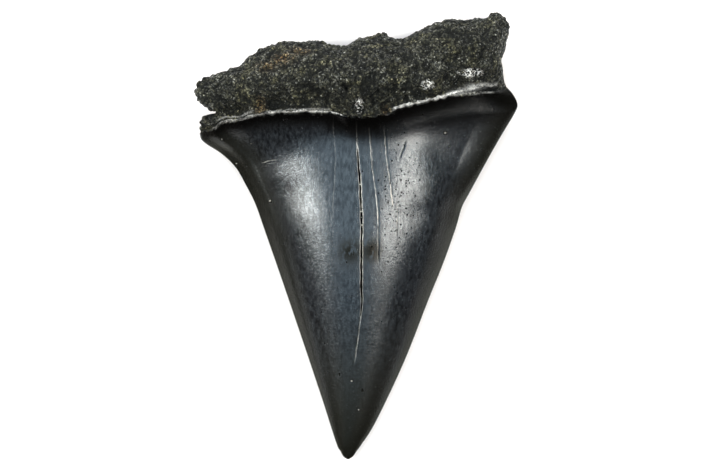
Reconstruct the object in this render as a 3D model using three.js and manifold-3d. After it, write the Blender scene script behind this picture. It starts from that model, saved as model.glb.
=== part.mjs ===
// A fossil broad-toothed mako tooth. It grew as one piece, so it is one solid: a smooth enamel crown
// and a rough bony root.
// Millimetres, +Z up. The tooth lies on its flat labial face with the domed lingual face up,
// its tip towards -Y and its root towards +Y. The origin is under the middle of its box, on the ground.

import * as THREE from "three";
import { mergeGeometries, mergeVertices } from "three/addons/utils/BufferGeometryUtils.js";
import Module from "manifold-3d";

// Driving dimensions. The box of the drawn outline is 37.1 by 51.6.
const ROOT_THICKNESS = 10.2; // at the bulge in the middle of the root
const LEFT_LOBE_TOP = 6.0; // the worn lobe
const RIGHT_LOBE_TOP = 7.6;
const ROOT_RIM_HEIGHT = 3.4; // of the line where the root's two faces meet
const CROWN_RISE = 5.0; // of the lingual dome over the cutting edges, at the base
const EDGE_HEIGHT_BASE = 1.9; // of the cutting edges over the ground
const EDGE_HEIGHT_TIP = 0.9;
const KEEL_SINK = 0.08; // of the labial face's middle under the ground, which cuts the flat spot
const KEEL_RISE_BASE = 0.25; // of the same line towards the root, and then towards the tip
const KEEL_RISE_TIP = 0.9;
const DOME_POWER = 2.2; // of the dome's section, a little flatter than a parabola
const BULGE_END = 0.4; // the dome is level down to this share of the crown's length, then falls away
const BULGE_BLEND = 0.07;
const TIP_CURVE = 0.85;
const FOOT_RISE = 1.4; // the enamel's sweep up to the root
const FOOT_LENGTH_LEFT = 6.0; // down from the enamel line, along y
const FOOT_LENGTH_RIGHT = 4.0;
const FOOT_CURVE = 3;
const LEDGE_HEIGHT = 0.45; // the root's rim over the enamel
const LABIAL_LEDGE = 0.3; // the enamel's rim over the root, on the hidden face
const ROOT_CLEARANCE = 0.65; // of the root's hidden face over the ground, between its lobes
const LOBE_DROP = 0.85; // of the lobes from that face, which gives them a flat spot each
const LABIAL_SHIFT = 1.2; // the enamel reaches this much further up the hidden face
const CREST_OFFSET = -0.05; // of the dome's highest line, as a share of the half width
const LUMP_SIZES = [4.2, 1.8]; // across one lump of the root
const LUMP_HEIGHTS = [0.45, 0.38];
const CRACK_WIDTH = 0.34;
const CRACK_DEPTH = 0.5;
const CRACK_START = 0.06; // both as shares of the way down the crown
const CRACK_END = 0.63;
const CRACK_ACROSS = [0.5, 0.503, 0.506, 0.508, 0.508, 0.505, 0.49, 0.472]; // shares of its width

// The mesh of each face
const COLUMNS = 44;
const ROOT_ROWS = 23;
const CROWN_ROWS = 24;
const ROOT_SHARE = ROOT_ROWS / (ROOT_ROWS + CROWN_ROWS);

// The outline in plan, from the middle of its box
const BASAL_EDGE = [
  [-18.4, 17.6], [-17.4, 18.2], [-15.8, 18.8], [-14.4, 19.3], [-13.2, 19.8], [-12.3, 20.8],
  [-11.0, 21.6], [-9.4, 22.0], [-7.9, 22.3], [-6.0, 22.3], [-4.2, 22.4], [-3.1, 22.0],
  [-1.7, 21.9], [-0.5, 22.2], [0.4, 22.8], [1.6, 23.1], [2.7, 23.5], [3.4, 23.4],
  [4.1, 22.9], [5.6, 22.9], [6.7, 23.5], [8.0, 24.1], [9.5, 24.6], [10.8, 25.0],
  [12.3, 24.9], [14.2, 25.1], [14.9, 25.3], [15.6, 25.8], [16.9, 25.3], [17.4, 24.6],
];
const ROOT_LEFT = [
  [-18.4, 17.6], [-18.6, 16.7], [-18.4, 15.8], [-18.2, 14.7], [-18.1, 13.2], [-18.2, 12.5],
  [-18.1, 11.8],
];
const ROOT_RIGHT = [
  [17.4, 24.6], [17.6, 23.8], [17.3, 22.7], [17.0, 21.3], [16.7, 20.1], [16.9, 18.9],
  [17.1, 17.8], [17.3, 17.1],
];
const CROWN_LEFT = [
  [-18.1, 11.8], [-17.9, 11.1], [-17.2, 10.5], [-15.5, 9.4], [-13.9, 7.8], [-12.7, 5.7],
  [-11.7, 3.7], [-10.7, 0.9], [-7.8, -7.5], [-4.3, -17.9], [-2.4, -23.8], [-1.9, -24.8],
  [-1.5, -25.5], [-1.0, -25.8],
];
const CROWN_RIGHT = [
  [17.3, 17.1], [18.0, 16.3], [18.5, 15.2], [18.2, 14.2], [16.6, 11.5], [14.9, 8.5],
  [13.0, 5.0], [12.1, 3.3], [11.4, 0.9], [9.9, -3.3], [8.2, -7.5], [5.5, -14.4],
  [2.2, -21.4], [0.5, -24.1], [0.0, -24.8], [-0.5, -25.5], [-1.0, -25.8],
];
const ENAMEL_LINE = [
  [-18.1, 11.8], [-17.3, 12.1], [-16.2, 12.3], [-15.4, 12.9], [-13.4, 13.2], [-11.8, 13.6],
  [-10.4, 13.8], [-7.6, 14.0], [-4.7, 14.0], [-2.7, 13.9], [-1.3, 13.5], [0.1, 13.5],
  [1.6, 13.5], [2.7, 13.8], [4.1, 14.2], [5.7, 14.7], [8.9, 15.5], [11.8, 16.1],
  [13.2, 16.2], [14.7, 16.4], [16.0, 16.5], [16.8, 16.8], [17.3, 17.1],
];
// The bite between the root's left lobe and the crown's shoulder, open to the left
const NOTCH = [
  [-20.0, 15.7], [-18.2, 15.4], [-17.1, 14.7], [-16.0, 14.25], [-16.1, 14.0], [-17.3, 13.8],
  [-18.0, 13.3], [-20.0, 12.9],
];

// Hollows of the lingual face: middle x, y, half width, half height and depth
const HOLLOWS = [
  [-14.0, 14.5, 1.7, 0.7, 1.5], // behind the notch
  [-8.6, 15.6, 1.6, 0.7, 0.6],
  [-1.2, 17.0, 1.3, 1.0, 0.7], // the nutrient opening
  [3.3, 14.1, 0.5, 0.8, 0.8], // a chip where a crack leaves the root
];

const { lerp, smoothstep } = THREE.MathUtils;

// A smooth curve through the points, read by its share of the length
function curveThrough(points) {
  return new THREE.CatmullRomCurve3(points.map(([x, y]) => new THREE.Vector3(x, y, 0)));
}

// A curve that runs from left to right, read as its offset in y from its own chord
function bowOf(points) {
  const curve = curveThrough(points).getSpacedPoints(400);
  const [first, last] = [curve[0], curve[curve.length - 1]];
  return (u) => {
    const x = lerp(first.x, last.x, u);
    const after = Math.max(1, curve.findIndex((p) => p.x >= x));
    const [a, b] = [curve[after - 1], curve[after]];
    return lerp(a.y, b.y, (x - a.x) / (b.x - a.x)) - lerp(first.y, last.y, u);
  };
}

const rootLeft = curveThrough(ROOT_LEFT);
const rootRight = curveThrough(ROOT_RIGHT);
const crownLeft = curveThrough(CROWN_LEFT);
const crownRight = curveThrough(CROWN_RIGHT);
const basalBow = bowOf(BASAL_EDGE);
const enamelBow = bowOf(ENAMEL_LINE);

// Repeatable random numbers from -1 to 1 at the corners of a grid, and a smooth field between them
function cornerValue(i, j, k) {
  const s = Math.sin(i * 127.1 + j * 311.7 + k * 74.7) * 43758.5453;
  return 2 * (s - Math.floor(s)) - 1;
}

function smoothField(x, y, z) {
  const [i, j, k] = [x, y, z].map(Math.floor);
  const [a, b, c] = [x - i, y - j, z - k].map((f) => f * f * (3 - 2 * f));
  const alongX = (dj, dk) => lerp(cornerValue(i, j + dj, k + dk), cornerValue(i + 1, j + dj, k + dk), a);
  return lerp(lerp(alongX(0, 0), alongX(1, 0), b), lerp(alongX(0, 1), alongX(1, 1), b), c);
}

// Row spacing that is closer at both ends
function closerAtEnds(s, amount) {
  return s - (amount / (2 * Math.PI)) * Math.sin(2 * Math.PI * s);
}

const edgeHeight = (w) => lerp(EDGE_HEIGHT_BASE, EDGE_HEIGHT_TIP, w);

// The height of the labial face's middle line
function keelHeight(w) {
  const towardsRoot = KEEL_RISE_BASE * (1 - smoothstep(w, 0, 0.12));
  const towardsTip = KEEL_RISE_TIP * smoothstep(w, 0.45, 1.05) ** 1.5;
  return towardsRoot + towardsTip - KEEL_SINK;
}

// The height of the dome's middle line, from 1 at the neck to 0 at the tip
function domeAlong(w) {
  const fallen = (share) => Math.log(1 + Math.exp((share - BULGE_END) / BULGE_BLEND));
  return Math.max(0, 1 - (fallen(w) - fallen(0)) / (fallen(1) - fallen(0))) ** TIP_CURVE;
}

// Below is the distance down from the enamel line, along y
function crownTop(u, w, below) {
  const t = 2 * u - 1;
  const fromCrest = Math.abs(t - CREST_OFFSET) / (1 - Math.sign(t - CREST_OFFSET) * CREST_OFFSET);
  const dome = Math.max(0, 1 - fromCrest ** DOME_POWER);
  const rise = CROWN_RISE * domeAlong(w);
  const footLength = lerp(FOOT_LENGTH_LEFT, FOOT_LENGTH_RIGHT, u);
  const foot = FOOT_RISE * Math.max(0, 1 - below / footLength) ** FOOT_CURVE * dome ** 0.5;
  return edgeHeight(w) + rise * dome + foot;
}

function crownBottom(u, w) {
  const dome = Math.max(0, 1 - Math.abs(2 * u - 1) ** 2.6) ** 0.9;
  return edgeHeight(w) - (edgeHeight(w) - keelHeight(w)) * dome * (1 - w ** 12);
}

// How full the root's section is, from 0 at its rim to 1 inside
function rootFullness(u, w) {
  const across = Math.sqrt(Math.max(0, 1 - Math.abs(2 * u - 1) ** 8));
  const along = Math.sqrt(1 - (1 - Math.min(1, w / 0.5)) ** 2);
  return across * along;
}

const intoNeck = (w) => smoothstep(w, 0.66, 1);
const rootRimHeight = (w) => lerp(ROOT_RIM_HEIGHT, EDGE_HEIGHT_BASE, smoothstep(w, 0.5, 1));

// The ledge is all there at LEDGE_SHARE of the root's height and gone at the enamel line
const LEDGE_SHARE = 0.975;
const ledgeLeft = (w) => 1 - smoothstep(w, LEDGE_SHARE, 1);

function rootTop(u, w) {
  const t = 2 * u - 1;
  const lobe = lerp(LEFT_LOBE_TOP, RIGHT_LOBE_TOP, u);
  const bulge = Math.exp(-((t / 0.55) ** 2) - ((w - 0.6) / 0.5) ** 2);
  const full = lerp(lobe, ROOT_THICKNESS, bulge);
  const free = lerp(rootRimHeight(w), full, rootFullness(u, w));
  const ledge = LEDGE_HEIGHT * ledgeLeft(w) * Math.min(1, 6 * u, 6 * (1 - u));
  return lerp(free, crownTop(u, 0, 0) + ledge, intoNeck(w));
}

function rootBottom(u, w) {
  const onLobe = Math.exp(-(((Math.abs(2 * u - 1) - 0.6) / 0.2) ** 2) - ((w - 0.5) / 0.3) ** 2);
  const full = ROOT_CLEARANCE - LOBE_DROP * onLobe;
  const free = lerp(rootRimHeight(w), full, rootFullness(u, w));
  const ledge = LABIAL_LEDGE * ledgeLeft(w) * Math.min(1, 6 * u, 6 * (1 - u));
  return lerp(free, crownBottom(u, 0) + ledge, intoNeck(w));
}

function hollowAt(x, y) {
  return HOLLOWS.reduce((depth, [middleX, middleY, halfWidth, halfHeight, full]) => {
    const reach = ((x - middleX) / halfWidth) ** 2 + ((y - middleY) / halfHeight) ** 2;
    return depth + full * Math.exp(-reach);
  }, 0);
}

// The place of a point of one face: u runs across from the left, v from the basal edge to the tip
function placeOn(face, u, v) {
  const inRoot = v <= ROOT_SHARE;
  const share = inRoot ? v / ROOT_SHARE : (v - ROOT_SHARE) / (1 - ROOT_SHARE);
  const w = closerAtEnds(share, inRoot ? 0.75 : 0.4);
  const [left, right] = inRoot ? [rootLeft, rootRight] : [crownLeft, crownRight];
  const point = left.getPointAt(w).lerp(right.getPointAt(w), u);
  const shift = face === "labial" ? LABIAL_SHIFT * (1 - (2 * u - 1) ** 2) : 0;
  const enamel = enamelBow(u) + shift;
  point.y += inRoot ? (1 - w) * basalBow(u) + w * enamel : (1 - w) ** 2 * enamel;
  if (face === "lingual") {
    const onFace = Math.min(1, 8 * u, 8 * (1 - u));
    const below = lerp(crownLeft.getPointAt(0).y, crownRight.getPointAt(0).y, u) + enamel - point.y;
    const height = inRoot ? rootTop(u, w) : crownTop(u, w, below);
    point.z = height - hollowAt(point.x, point.y) * onFace;
  } else {
    point.z = (inRoot ? rootBottom : crownBottom)(u, w);
  }
  point.rough = inRoot ? (1 - smoothstep(w, 0.9, 0.97)) * (0.25 + 0.75 * rootFullness(u, w)) : 0;
  return point;
}

// One face of the tooth, draped from a flat sheet
function face(name) {
  const sheet = new THREE.PlaneGeometry(1, 1, COLUMNS, ROOT_ROWS + CROWN_ROWS);
  const { position, uv } = sheet.attributes;
  const rough = new Float32Array(position.count);
  for (let i = 0; i < position.count; i++) {
    const point = placeOn(name, closerAtEnds(uv.getX(i), 0.8), 1 - uv.getY(i));
    position.setXYZ(i, point.x, point.y, point.z);
    rough[i] = point.rough;
  }
  if (name === "labial") {
    const corners = sheet.index.array;
    for (let i = 0; i < corners.length; i += 3) [corners[i], corners[i + 1]] = [corners[i + 1], corners[i]];
  }
  sheet.deleteAttribute("normal");
  sheet.deleteAttribute("uv");
  return sheet.setAttribute("rough", new THREE.BufferAttribute(rough, 1));
}

// Both faces joined at the rim, without the faces that collapse at the tip
function joinedFaces() {
  const joined = mergeVertices(mergeGeometries([face("lingual"), face("labial")]), 1e-4);
  const kept = [];
  const corners = joined.index.array;
  for (let i = 0; i < corners.length; i += 3) {
    const [a, b, c] = corners.slice(i, i + 3);
    if (a !== b && b !== c && c !== a) kept.push(a, b, c);
  }
  return joined.setIndex(kept);
}

// Pushes the root's surface in and out by lumps, then flattens what would be under the ground
function roughenRoot(geometry) {
  geometry.computeVertexNormals();
  const { position, normal, rough } = geometry.attributes;
  for (let i = 0; i < position.count; i++) {
    const at = new THREE.Vector3().fromBufferAttribute(position, i);
    const push = LUMP_SIZES.reduce(
      (sum, size, n) => sum + LUMP_HEIGHTS[n] * smoothField(at.x / size, at.y / size, at.z / size),
      0,
    );
    at.addScaledVector(new THREE.Vector3().fromBufferAttribute(normal, i), push * rough.getX(i));
    position.setXYZ(i, at.x, at.y, Math.max(0, at.z));
  }
  geometry.deleteAttribute("normal");
  geometry.deleteAttribute("rough");
}

// A thin blade that stands in the crown along the crack, shallow at both ends
function crackBlade() {
  const steps = 24;
  const across = new THREE.SplineCurve(CRACK_ACROSS.map((share, i) => new THREE.Vector2(i, share)));
  const floor = [];
  const roof = [];
  for (let i = 0; i <= steps; i++) {
    const down = lerp(CRACK_START, CRACK_END, i / steps);
    const at = placeOn("lingual", across.getPoint(i / steps).y, lerp(ROOT_SHARE, 1, down));
    const depth = CRACK_DEPTH * Math.sin((Math.PI * (i + 1)) / (steps + 2)) ** 0.5;
    floor.push(at.clone().setZ(at.z - depth));
    roof.unshift(at.clone().setZ(at.z + 1));
  }
  const side = [...floor, ...roof];
  const shape = new THREE.Shape(side.map((p) => new THREE.Vector2(p.y, p.z)));
  const blade = new THREE.ExtrudeGeometry(shape, { depth: CRACK_WIDTH, bevelEnabled: false });
  const { position } = blade.attributes;
  for (let i = 0; i < position.count; i++) {
    const [y, z, out] = [position.getX(i), position.getY(i), position.getZ(i)];
    const corner = side.find((p) => Math.abs(p.y - y) < 1e-4);
    position.setXYZ(i, corner.x + out - CRACK_WIDTH / 2, y, z);
  }
  return blade;
}

// A wedge with the notch's plan that goes right through the tooth
function notchWedge() {
  const shape = new THREE.Shape(NOTCH.map(([x, y]) => new THREE.Vector2(x, y)));
  const wedge = new THREE.ExtrudeGeometry(shape, { depth: 2 * ROOT_THICKNESS, bevelEnabled: false });
  return wedge.translate(0, 0, -ROOT_THICKNESS / 2);
}

const wasm = await Module();
wasm.setup();

function solidOf(geometry) {
  const bare = geometry.clone();
  bare.deleteAttribute("normal");
  bare.deleteAttribute("uv");
  const merged = mergeVertices(bare, 1e-4);
  return new wasm.Manifold(
    new wasm.Mesh({
      numProp: 3,
      vertProperties: merged.attributes.position.array,
      triVerts: new Uint32Array(merged.index.array),
    }),
  );
}

function geometryOf(solid) {
  const mesh = solid.getMesh();
  return new THREE.BufferGeometry()
    .setAttribute("position", new THREE.BufferAttribute(mesh.vertProperties, 3))
    .setIndex(new THREE.BufferAttribute(mesh.triVerts, 1));
}

function toothGeometry() {
  const body = joinedFaces();
  roughenRoot(body);
  const cuts = [crackBlade(), notchWedge()];
  const geometry = geometryOf(cuts.reduce((solid, cut) => solid.subtract(solidOf(cut)), solidOf(body)));
  geometry.computeBoundingBox();
  const middle = geometry.boundingBox.getCenter(new THREE.Vector3());
  return geometry.translate(-middle.x, -middle.y, -geometry.boundingBox.min.z);
}

const enamel = new THREE.MeshStandardMaterial({ color: 0x2b3037, roughness: 0.35, metalness: 0 });
const tooth = new THREE.Mesh(toothGeometry(), enamel);
tooth.name = "tooth";

const part = new THREE.Group();
part.add(tooth);

export default part;
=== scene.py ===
"""A fossil broad-toothed mako tooth, lying on its flat labial face with the domed lingual face up.

The tooth is one mesh: two sheets, lingual and labial, joined at the rim. Each sheet is drawn by
u, from the left edge to the right one, and w, from the top of the root or of the crown to its end.
Lengths are in millimetres until the mesh is made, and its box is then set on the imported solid's box.
"""
import math

import bpy
import numpy as np
from mathutils import Matrix, Vector


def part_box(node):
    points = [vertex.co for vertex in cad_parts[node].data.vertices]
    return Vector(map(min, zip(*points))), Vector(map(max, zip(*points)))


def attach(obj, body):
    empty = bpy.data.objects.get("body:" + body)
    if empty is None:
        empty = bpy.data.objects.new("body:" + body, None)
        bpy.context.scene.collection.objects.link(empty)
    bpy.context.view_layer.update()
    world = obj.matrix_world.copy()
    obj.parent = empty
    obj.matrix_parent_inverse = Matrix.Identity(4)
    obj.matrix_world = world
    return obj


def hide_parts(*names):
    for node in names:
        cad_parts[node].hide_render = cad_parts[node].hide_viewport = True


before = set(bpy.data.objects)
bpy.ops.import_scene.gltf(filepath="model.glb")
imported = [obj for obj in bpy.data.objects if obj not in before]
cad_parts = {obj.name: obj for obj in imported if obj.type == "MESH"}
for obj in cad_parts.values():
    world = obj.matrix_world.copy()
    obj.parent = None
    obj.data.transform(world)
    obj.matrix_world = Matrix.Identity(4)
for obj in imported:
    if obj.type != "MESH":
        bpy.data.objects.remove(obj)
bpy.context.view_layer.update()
MM = 0.001

# Driving dimensions of the body, as in the solid
ROOT_THICKNESS = 10.2
LEFT_LOBE_TOP = 6.0
RIGHT_LOBE_TOP = 7.6
ROOT_RIM_HEIGHT = 3.4
CROWN_RISE = 5.0
EDGE_HEIGHT_BASE = 1.9
EDGE_HEIGHT_TIP = 0.9
KEEL_SINK = 0.08
KEEL_RISE_BASE = 0.25
KEEL_RISE_TIP = 0.9
DOME_POWER = 2.2
BULGE_END = 0.4
BULGE_BLEND = 0.07
TIP_CURVE = 0.85
FOOT_RISE = 1.4
FOOT_LENGTH_LEFT = 6.0
FOOT_LENGTH_RIGHT = 4.0
FOOT_CURVE = 3
LEDGE_HEIGHT = 0.45
LABIAL_LEDGE = 0.3
ROOT_CLEARANCE = 0.65
LOBE_DROP = 0.85
LABIAL_SHIFT = 1.2
CREST_OFFSET = -0.05
LUMPS = [(4.2, 0.45), (1.8, 0.28)]  # size across and height
GRAINS = [(1.0, 0.26), (0.55, 0.24)]
GRAIN_SINK = 0.38  # the grains stand in the drawn surface and don't add to its height

# Finer shape of the body. A pair is where a change starts and ends, as a share of the way down the
# root or the crown, or across.
KEEL_SETTLES = (0, 0.12)
KEEL_RISES = (0.45, 1.05)
KEEL_CURVE = 1.5
FOOT_SPREAD = 0.5
LABIAL_POWER = 2.6
LABIAL_CURVE = 0.9
TIP_CLOSING = 12
ROOT_SQUARENESS = 8
ROOT_ROUNDED = 0.5
ROOT_RIM_FALLS = (0.5, 1)
ROOT_NECK = (0.66, 1)
ROOT_BULGE = (0, 0.6, 0.55, 0.5)  # middle across from -1 to 1 and down, and half sizes
LABIAL_LOBE = (0.6, 0.5, 0.2, 0.3)
LEDGE_DROPS = (0.975, 1)
LEDGE_SLOPE = 6
LEDGE_PROUD = (0.55, 0.8)
LEDGE_LEFT = 0.75  # share of the ledge's height at the left, and how much more there is at the right
LEDGE_MORE = 0.5
LEDGE_WORN = (0.455, 0.035)  # middle and half width
LEDGE_WEAR = 0.85
HOLLOW_SLOPE = 8  # a slope is how soon it is there, inside the left and right edges

# The random numbers, and the form of a packed grain
HASH_STEPS = (127.1, 311.7, 74.7)
HASH_SCALE = 43758.5453
GRAIN_SEEDS = (11, 23, 37)
LEVEL_SEEDS = (5, 3, 9)
GRAIN_WANDER = 0.42  # how far a grain's middle is from the middle of its cell, at most
GRAIN_FALL = 1.6
GRAIN_CURVE = 1.5
GRAIN_UNEVENNESS = 0.35

# The root's relief. A pair is where a change starts and ends.
LUMPS_END = (0.9, 0.97)  # down the root
GRAINS_END = (0.985, 1.0)
FIBRES_START = (14.6, 15.8)  # in x
FIBRES_END = (23.0, 24.4)  # in y
FIBRE_SIZE = (0.28, 2.6, 0.5)
FIBRE_HEIGHT = 0.12
FIBRE_GRAINS = 0.4  # share of the grains that is left among the fibres
WORN_RIM = (-1.4, -0.4, 1.2, 0.5)  # middle x and distance below the enamel line, and half sizes
WORN_SMOOTH = 0.8
RIM_SMOOTH = 0.7
GRAINS_AT_EDGE = 0.6
ROUGH_AT_EDGE = 0.25

# The outline in plan, from the middle of its box
BASAL_EDGE = [
    (-18.4, 17.6), (-17.4, 18.2), (-15.8, 18.8), (-14.4, 19.3), (-13.2, 19.8), (-12.3, 20.8),
    (-11.0, 21.6), (-9.4, 22.0), (-7.9, 22.3), (-6.0, 22.3), (-4.2, 22.4), (-3.1, 22.0),
    (-1.7, 21.9), (-0.5, 22.2), (0.4, 22.8), (1.6, 23.1), (2.7, 23.5), (3.4, 23.4),
    (4.1, 22.9), (5.6, 22.9), (6.7, 23.5), (8.0, 24.1), (9.5, 24.6), (10.8, 25.0),
    (12.3, 24.9), (14.2, 25.1), (14.9, 25.3), (15.6, 25.8), (16.9, 25.3), (17.4, 24.6),
]
ROOT_LEFT = [
    (-18.4, 17.6), (-18.6, 16.7), (-18.4, 15.8), (-18.2, 14.7), (-18.1, 13.2), (-18.2, 12.5),
    (-18.1, 11.8),
]
ROOT_RIGHT = [
    (17.4, 24.6), (17.6, 23.8), (17.3, 22.7), (17.0, 21.3), (16.7, 20.1), (16.9, 18.9),
    (17.1, 17.8), (17.3, 17.1),
]
CROWN_LEFT = [
    (-18.1, 11.8), (-17.9, 11.1), (-17.2, 10.5), (-15.5, 9.4), (-13.9, 7.8), (-12.7, 5.7),
    (-11.7, 3.7), (-10.7, 0.9), (-7.8, -7.5), (-4.3, -17.9), (-2.4, -23.8), (-1.9, -24.8),
    (-1.5, -25.5), (-1.0, -25.8),
]
CROWN_RIGHT = [
    (17.3, 17.1), (18.0, 16.3), (18.5, 15.2), (18.2, 14.2), (16.6, 11.5), (14.9, 8.5),
    (13.0, 5.0), (12.1, 3.3), (11.4, 0.9), (9.9, -3.3), (8.2, -7.5), (5.5, -14.4),
    (2.2, -21.4), (0.5, -24.1), (0.0, -24.8), (-0.5, -25.5), (-1.0, -25.8),
]
ENAMEL_LINE = [
    (-18.1, 11.8), (-17.3, 12.1), (-16.2, 12.3), (-15.4, 12.9), (-13.4, 13.2), (-11.8, 13.6),
    (-10.4, 13.8), (-7.6, 14.0), (-4.7, 14.0), (-2.7, 13.9), (-1.3, 13.5), (0.1, 13.5),
    (1.6, 13.5), (2.7, 13.8), (4.1, 14.2), (5.7, 14.7), (8.9, 15.5), (11.8, 16.1),
    (13.2, 16.2), (14.7, 16.4), (16.0, 16.5), (16.8, 16.8), (17.3, 17.1),
]
# The inner edge of the bite between root and crown, from its lower lip to its upper one
NOTCH_EDGE = [
    (-20.0, 12.9), (-18.0, 13.3), (-17.3, 13.8), (-16.1, 14.0), (-16.0, 14.25), (-17.1, 14.7),
    (-18.2, 15.4), (-20.0, 15.7),
]

# Cracks of the crown, from the root down
MAIN_CRACK = [
    (-0.1, 13.3), (0.0, 11.6), (0.2, 8.1), (0.35, 5.9), (0.5, 2.7), (0.6, 0.4), (0.5, -1.1),
    (0.5, -5.5), (0.6, -7.1), (0.4, -9.4), (0.1, -11.8), (-0.2, -14.1), (-0.35, -15.0),
]
SECOND_CRACK = [
    (1.35, 12.5), (1.7, 8.0), (2.2, 4.4), (2.4, 1.9), (2.4, -0.3), (2.35, -2.1), (2.45, -3.6),
]
THIRD_CRACK = [
    (3.05, 12.7), (3.35, 9.0), (3.8, 5.9), (4.0, 4.1), (4.35, 1.9), (4.6, 0.2), (4.75, -1.0),
]
LEFT_CRACK = [
    (-2.8, 13.9), (-2.75, 13.0), (-2.4, 9.0), (-2.55, 6.4), (-2.7, 4.1), (-2.95, 1.1), (-3.0, 0.0),
]
SCRATCH = [(5.5, 10.9), (5.4, 10.4), (5.05, 9.5), (4.7, 8.6), (4.6, 8.2)]
# Path, brightness of its pale line and darkness of the painted shade line beside it
FINE_CRACKS = [
    (SECOND_CRACK, 0.3, 0.6), (THIRD_CRACK, 0.26, 0.5), (LEFT_CRACK, 0.11, 0.1), (SCRATCH, 0.0, 1.0),
]
PALE_SCRATCH = [(-10.7, 8.4), (-10.2, 8.6), (-9.4, 8.7)]  # from left to right
SCRATCH_MARGIN = 0.3
SCRATCH_PALE = 0.5
FINE_LIP = 0.03  # height of the raised side of a fine crack, and the depth of its other side
FINE_GROOVE = 0.07
FINE_GROOVE_AT = 0.12  # to the right of the crack's path
FINE_WIDTH = 0.05
FINE_LIP_FADES = (-2.0, 4.0)  # in y, from the lower end
FINE_LIP_END = 0.2
CRACK_BRIDGES = [5.9, 2.8, 1.25, -2.6]  # where enamel still spans the main crack, in y
BRIDGE_HALF = 0.18
CRACK_OPENS = (-9.5, -4.0)  # in y, from the crack's lower end
CRACK_CLOSES = (7.0, 10.0)
CRACK_HALF_WIDTH = 0.06
CRACK_OPENING = 0.06  # how much more the half width is where the crack is open
CRACK_DEPTH = 0.06
CRACK_OPEN_DEPTH = 0.5
LIP_HEIGHT = 0.05
LIP_WIDTH = 0.04
CLOSED_LIP = 0.24  # brightness of the lips where the crack is closed
CRACK_FADE = 1.8  # length over which a crack ends, and over which it starts at the root
CRACK_START = 0.6
CRACK_WANDER = 0.035
WANDER_RATE = 1.7
WANDER_SEED = 3
CRACK_EVENNESS = 0.8  # of the opening's half width, and how much it varies along the crack
CRACK_UNEVENNESS = 0.4
UNEVEN_RATE = 0.9
UNEVEN_SEED = 5
DARK_LINE_GAIN = 3  # the dark line widens sooner than the groove
MARK_REACH = 0.45  # a vertex this near a crack keeps its distance from it, and others keep AWAY
AWAY = 1

# Places on the lingual face: middle x and y, half width, half height and, for hollows and crevices,
# depth, which is under zero for a swell
HOLLOWS = [
    (-14.0, 14.5, 1.7, 0.7, 1.5),
    (-8.6, 15.6, 1.6, 0.7, 0.6),
    (-1.2, 17.0, 1.3, 1.0, 0.7),
    (3.4, 14.5, 0.4, 0.5, 0.5),
    (12.8, 10.4, 4.3, 4.4, 0.45),
    (9.6, 9.8, 2.3, 2.6, 0.2),
    (9.2, 1.6, 2.2, 4.4, -0.24),
]
# Crevices are sunk and painted dark as their shade
CREVICES = [
    (-9.4, 15.0, 2.3, 0.35, 0.5), (-1.1, 17.0, 0.9, 0.3, 0.5), (14.2, 16.9, 2.3, 0.25, 0.55),
    (3.4, 14.4, 0.3, 0.5, 0.3), (8.1, 16.1, 0.9, 0.16, 0.3),
]
CHIPS = [  # middle x, y and radius
    (-2.0, -15.9, 0.10), (-0.6, -16.6, 0.12), (0.65, -17.7, 0.10), (0.2, -20.0, 0.09),
    (10.1, 11.8, 0.14), (10.6, 10.2, 0.09), (12.2, 11.4, 0.07), (-9.95, 4.0, 0.14),
    (-15.5, 11.1, 0.10), (-12.1, 10.6, 0.07), (-13.85, 8.3, 0.10), (-11.8, 9.5, 0.06),
]
CHIP_REACH = 3  # the mask of a chip reaches this many radii, and the finish draws its rings in it
PITTED = (4.9, 3.6, 1.9, 6.0)
STAINS = [(-0.8, -1.8, 1.4, 1.5), (1.8, -1.7, 1.2, 1.6)]
RUST_PATCHES = [
    (-10.3, 19.4, 1.0, 0.5), (-8.4, 20.2, 1.1, 0.5), (-6.4, 21.1, 0.9, 0.4), (-11.0, 14.9, 0.5, 0.9),
    (3.3, 14.1, 0.4, 0.6),
]
# Painted highlights: glints on the root's facets, painted near white
GLINTS = [(0.25, 14.8, 0.5, 0.9), (8.0, 17.2, 0.8, 0.6), (13.1, 18.4, 1.6, 0.5)]

# The root's rim over the enamel: stretches in x where it is worn smooth and carries a painted highlight.
# On the right it leaves the enamel line from RIM_PARTS on, with a gap painted dark as its shade and a
# thin pale lower edge.
RIM_STRETCHES = [(-10.8, -1.3, 0.7), (3.9, 16.4, 1.0)]  # start, end and brightness
# Start, end, height and brightness
RIM_LAYERS = [(-16.8, -10.2, 0.1, 0.4), (-16.2, -11.6, 0.6, 0.3), (-10.6, -3.0, 0.4, 0.2)]
RIM_PARTS = 9.4
RIM_HEIGHT = 0.09
RIM_LIFT = 0.12  # more height of the rim's line for each millimetre past RIM_PARTS
RIM_PARTED_LENGTH = 6
RIM_BREADTH = (0.06, 0.19)  # at the left and at the right
RIM_BROADENS = (8, 11)  # in x
RIM_DULLS = (12, 15.5)
RIM_DULLING = 0.6
LAYER_BREADTH = 0.1
GAP_FROM = RIM_PARTS + 0.8  # in x
GAP_TO = 16.8
GAP_FADE = 1.2
GAP_PLACE = 0.55  # middle and half breadth of the gap, as shares of the rim's height
GAP_BREADTH = 0.2
GAP_DEPTH = 0.35
THIN_EDGE = (0.05, 0.08)  # height and half breadth
THIN_EDGE_PALE = 0.3

# Reach of the finish masks, in millimetres or, for the cutting edges and the tip, in shares
RAGGED_LINE = [(0.5, 0.14), (0.2, 0.08)]  # size across and how far it moves the root's edge
ROOT_EDGE = (-0.12, 0.12)
# The hollow mask paints shade between the root's grains, where their relief is low
HOLLOW_GRAIN = (0.14, 0.32)
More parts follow.
